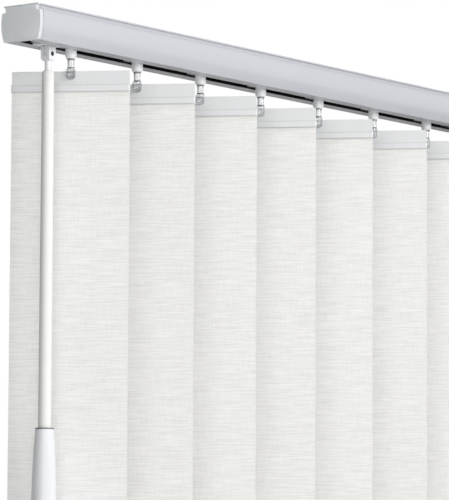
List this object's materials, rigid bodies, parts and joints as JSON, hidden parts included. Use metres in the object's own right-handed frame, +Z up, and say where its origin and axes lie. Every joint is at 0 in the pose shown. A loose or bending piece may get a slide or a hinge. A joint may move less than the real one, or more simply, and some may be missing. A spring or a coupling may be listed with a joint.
{
  "type": "vertical blind",
  "caption": "Vertical blind with fabric vanes on a slotted head rail, turned and drawn by a hanging wand.",
  "frame": {"origin": "midway between the two ceiling clips' screw holes, at the clips' top plane", "axes": "+X along the rail from the wand end, -Y towards the room, +Z up"},
  "size_m": [0.597, 0.079, 0.9144],
  "materials": {
    "rail_aluminium": "satin powder coat",
    "cap_plastic": "moulded satin",
    "clip_steel": "zinc plated",
    "rod_aluminium": "mill",
    "truck_plastic": "milky, moulded",
    "roller_plastic": "moulded",
    "gear_plastic": "moulded",
    "clear_plastic": "clear",
    "hanger_plastic": "moulded satin",
    "vane_fabric": "slub weave",
    "fork_plastic": "moulded",
    "wand_plastic": "gloss",
    "grip_plastic": "high gloss"
  },
  "bodies": {
    "head_rail": {"rail": "rail_aluminium", "end_cap_left": "cap_plastic", "end_cap_right": "cap_plastic", "mounting_clips": "clip_steel", "truck_7": "truck_plastic", "rollers_7": "roller_plastic"},
    "lead_carriage": {"wand_carrier": "truck_plastic", "truck_1": "truck_plastic"},
    "carriage_2": {"truck_2": "truck_plastic"},
    "carriage_3": {"truck_3": "truck_plastic"},
    "carriage_4": {"truck_4": "truck_plastic"},
    "carriage_5": {"truck_5": "truck_plastic"},
    "carriage_6": {"truck_6": "truck_plastic"},
    "roller_pair_1": {"rollers_1": "roller_plastic"},
    "worm_sleeve_1": {"worm_1": "gear_plastic"},
    "vane_1": {"stem_1": "clear_plastic", "hanger_1": "hanger_plastic", "slat_1": "vane_fabric"},
    "roller_pair_2": {"rollers_2": "roller_plastic"},
    "worm_sleeve_2": {"worm_2": "gear_plastic"},
    "vane_2": {"stem_2": "clear_plastic", "hanger_2": "hanger_plastic", "slat_2": "vane_fabric"},
    "roller_pair_3": {"rollers_3": "roller_plastic"},
    "worm_sleeve_3": {"worm_3": "gear_plastic"},
    "vane_3": {"stem_3": "clear_plastic", "hanger_3": "hanger_plastic", "slat_3": "vane_fabric"},
    "roller_pair_4": {"rollers_4": "roller_plastic"},
    "worm_sleeve_4": {"worm_4": "gear_plastic"},
    "vane_4": {"stem_4": "clear_plastic", "hanger_4": "hanger_plastic", "slat_4": "vane_fabric"},
    "roller_pair_5": {"rollers_5": "roller_plastic"},
    "worm_sleeve_5": {"worm_5": "gear_plastic"},
    "vane_5": {"stem_5": "clear_plastic", "hanger_5": "hanger_plastic", "slat_5": "vane_fabric"},
    "roller_pair_6": {"rollers_6": "roller_plastic"},
    "worm_sleeve_6": {"worm_6": "gear_plastic"},
    "vane_6": {"stem_6": "clear_plastic", "hanger_6": "hanger_plastic", "slat_6": "vane_fabric"},
    "worm_sleeve_7": {"worm_7": "gear_plastic"},
    "vane_7": {"stem_7": "clear_plastic", "hanger_7": "hanger_plastic", "slat_7": "vane_fabric"},
    "carrier_roller_pair": {"carrier_rollers": "roller_plastic"},
    "drive_sleeve": {"drive_gear": "gear_plastic"},
    "rod": {"tilt_rod": "rod_aluminium"},
    "shaft": {"wand_shaft": "gear_plastic"},
    "wand": {"wand_fork": "fork_plastic", "fork_pin": "clip_steel", "wand_tube": "wand_plastic", "wand_grip": "grip_plastic"}
  },
  "joints": [
    {"name": "lead_traverse", "type": "slide", "parent": "head_rail", "child": "lead_carriage", "axis": [1, 0, 0], "range_m": [0, 0.375]},
    {"name": "carriage_2_traverse", "type": "slide", "parent": "head_rail", "child": "carriage_2", "axis": [1, 0, 0], "range_m": [0, 0.31251]},
    {"name": "carriage_3_traverse", "type": "slide", "parent": "head_rail", "child": "carriage_3", "axis": [1, 0, 0], "range_m": [0, 0.25001]},
    {"name": "carriage_4_traverse", "type": "slide", "parent": "head_rail", "child": "carriage_4", "axis": [1, 0, 0], "range_m": [0, 0.18751]},
    {"name": "carriage_5_traverse", "type": "slide", "parent": "head_rail", "child": "carriage_5", "axis": [1, 0, 0], "range_m": [0, 0.12501]},
    {"name": "carriage_6_traverse", "type": "slide", "parent": "head_rail", "child": "carriage_6", "axis": [1, 0, 0], "range_m": [0, 0.06251]},
    {"name": "carrier_rollers_roll", "type": "hinge", "parent": "lead_carriage", "child": "carrier_roller_pair", "pos_m": [-0.2665, 0, -0.0229], "axis": [0, 1, 0], "range_deg": [0, 6714.8]},
    {"name": "rollers_1_roll", "type": "hinge", "parent": "lead_carriage", "child": "roller_pair_1", "pos_m": [-0.24, 0, -0.0229], "axis": [0, 1, 0], "range_deg": [0, 6714.8]},
    {"name": "rollers_2_roll", "type": "hinge", "parent": "carriage_2", "child": "roller_pair_2", "pos_m": [-0.16, 0, -0.0229], "axis": [0, 1, 0], "range_deg": [0, 5595.8]},
    {"name": "rollers_3_roll", "type": "hinge", "parent": "carriage_3", "child": "roller_pair_3", "pos_m": [-0.08, 0, -0.0229], "axis": [0, 1, 0], "range_deg": [0, 4476.7]},
    {"name": "rollers_4_roll", "type": "hinge", "parent": "carriage_4", "child": "roller_pair_4", "pos_m": [0, 0, -0.0229], "axis": [0, 1, 0], "range_deg": [0, 3357.7]},
    {"name": "rollers_5_roll", "type": "hinge", "parent": "carriage_5", "child": "roller_pair_5", "pos_m": [0.08, 0, -0.0229], "axis": [0, 1, 0], "range_deg": [0, 2238.6]},
    {"name": "rollers_6_roll", "type": "hinge", "parent": "carriage_6", "child": "roller_pair_6", "pos_m": [0.16, 0, -0.0229], "axis": [0, 1, 0], "range_deg": [0, 1119.6]},
    {"name": "vane_1_tilt", "type": "hinge", "parent": "lead_carriage", "child": "vane_1", "pos_m": [-0.24, 0, -0.028], "axis": [0, 0, 1], "range_deg": [-94.74, 37.89]},
    {"name": "vane_2_tilt", "type": "hinge", "parent": "carriage_2", "child": "vane_2", "pos_m": [-0.16, 0, -0.028], "axis": [0, 0, 1], "range_deg": [-94.74, 37.9]},
    {"name": "vane_3_tilt", "type": "hinge", "parent": "carriage_3", "child": "vane_3", "pos_m": [-0.08, 0, -0.028], "axis": [0, 0, 1], "range_deg": [-94.74, 37.9]},
    {"name": "vane_4_tilt", "type": "hinge", "parent": "carriage_4", "child": "vane_4", "pos_m": [0, 0, -0.028], "axis": [0, 0, 1], "range_deg": [-94.74, 37.9]},
    {"name": "vane_5_tilt", "type": "hinge", "parent": "carriage_5", "child": "vane_5", "pos_m": [0.08, 0, -0.028], "axis": [0, 0, 1], "range_deg": [-94.74, 37.9]},
    {"name": "vane_6_tilt", "type": "hinge", "parent": "carriage_6", "child": "vane_6", "pos_m": [0.16, 0, -0.028], "axis": [0, 0, 1], "range_deg": [-94.74, 37.9]},
    {"name": "vane_7_tilt", "type": "hinge", "parent": "head_rail", "child": "vane_7", "pos_m": [0.24, 0, -0.028], "axis": [0, 0, 1], "range_deg": [-94.74, 37.9]},
    {"name": "worm_1_turn", "type": "hinge", "parent": "lead_carriage", "child": "worm_sleeve_1", "pos_m": [-0.24, 0.00825, -0.014], "axis": [1, 0, 0], "range_deg": [-1800, 720]},
    {"name": "worm_2_turn", "type": "hinge", "parent": "carriage_2", "child": "worm_sleeve_2", "pos_m": [-0.16, 0.00825, -0.014], "axis": [1, 0, 0], "range_deg": [-1800, 720]},
    {"name": "worm_3_turn", "type": "hinge", "parent": "carriage_3", "child": "worm_sleeve_3", "pos_m": [-0.08, 0.00825, -0.014], "axis": [1, 0, 0], "range_deg": [-1800, 720]},
    {"name": "worm_4_turn", "type": "hinge", "parent": "carriage_4", "child": "worm_sleeve_4", "pos_m": [0, 0.00825, -0.014], "axis": [1, 0, 0], "range_deg": [-1800, 720]},
    {"name": "worm_5_turn", "type": "hinge", "parent": "carriage_5", "child": "worm_sleeve_5", "pos_m": [0.08, 0.00825, -0.014], "axis": [1, 0, 0], "range_deg": [-1800, 720]},
    {"name": "worm_6_turn", "type": "hinge", "parent": "carriage_6", "child": "worm_sleeve_6", "pos_m": [0.16, 0.00825, -0.014], "axis": [1, 0, 0], "range_deg": [-1800, 720]},
    {"name": "worm_7_turn", "type": "hinge", "parent": "head_rail", "child": "worm_sleeve_7", "pos_m": [0.24, 0.00825, -0.014], "axis": [1, 0, 0], "range_deg": [-1800, 720]},
    {"name": "drive_gear_turn", "type": "hinge", "parent": "lead_carriage", "child": "drive_sleeve", "pos_m": [-0.2665, 0.00825, -0.014], "axis": [1, 0, 0], "range_deg": [-1800, 720]},
    {"name": "tilt_rod_turn", "type": "hinge", "parent": "head_rail", "child": "rod", "pos_m": [0, 0.00825, -0.014], "axis": [1, 0, 0], "range_deg": [-1800, 720]},
    {"name": "wand_twist", "type": "hinge", "parent": "lead_carriage", "child": "shaft", "pos_m": [-0.2665, 0, -0.028], "axis": [0, 0, 1], "range_deg": [-1800, 720]},
    {"name": "wand_swing", "type": "hinge", "parent": "shaft", "child": "wand", "pos_m": [-0.2665, 0, -0.0336], "axis": [0, 1, 0], "range_deg": [0, 50]}
  ],
  "couplings": [
    {"joint": "carriage_2_traverse", "follows": "lead_traverse", "ratio": 0.83333},
    {"joint": "carriage_3_traverse", "follows": "lead_traverse", "ratio": 0.66667},
    {"joint": "carriage_4_traverse", "follows": "lead_traverse", "ratio": 0.5},
    {"joint": "carriage_5_traverse", "follows": "lead_traverse", "ratio": 0.33333},
    {"joint": "carriage_6_traverse", "follows": "lead_traverse", "ratio": 0.16667},
    {"joint": "carrier_rollers_roll", "follows": "lead_traverse", "rad_per_m": 312.5},
    {"joint": "rollers_1_roll", "follows": "lead_traverse", "rad_per_m": 312.5},
    {"joint": "rollers_2_roll", "follows": "lead_traverse", "rad_per_m": 260.42},
    {"joint": "rollers_3_roll", "follows": "lead_traverse", "rad_per_m": 208.33},
    {"joint": "rollers_4_roll", "follows": "lead_traverse", "rad_per_m": 156.25},
    {"joint": "rollers_5_roll", "follows": "lead_traverse", "rad_per_m": 104.17},
    {"joint": "rollers_6_roll", "follows": "lead_traverse", "rad_per_m": 52.083},
    {"joint": "vane_2_tilt", "follows": "vane_1_tilt", "ratio": 1},
    {"joint": "vane_3_tilt", "follows": "vane_1_tilt", "ratio": 1},
    {"joint": "vane_4_tilt", "follows": "vane_1_tilt", "ratio": 1},
    {"joint": "vane_5_tilt", "follows": "vane_1_tilt", "ratio": 1},
    {"joint": "vane_6_tilt", "follows": "vane_1_tilt", "ratio": 1},
    {"joint": "vane_7_tilt", "follows": "vane_1_tilt", "ratio": 1},
    {"joint": "worm_1_turn", "follows": "vane_1_tilt", "ratio": 19},
    {"joint": "worm_2_turn", "follows": "vane_1_tilt", "ratio": 19},
    {"joint": "worm_3_turn", "follows": "vane_1_tilt", "ratio": 19},
    {"joint": "worm_4_turn", "follows": "vane_1_tilt", "ratio": 19},
    {"joint": "worm_5_turn", "follows": "vane_1_tilt", "ratio": 19},
    {"joint": "worm_6_turn", "follows": "vane_1_tilt", "ratio": 19},
    {"joint": "worm_7_turn", "follows": "vane_1_tilt", "ratio": 19},
    {"joint": "drive_gear_turn", "follows": "vane_1_tilt", "ratio": 19},
    {"joint": "tilt_rod_turn", "follows": "vane_1_tilt", "ratio": 19},
    {"joint": "wand_twist", "follows": "vane_1_tilt", "ratio": 19}
  ]
}
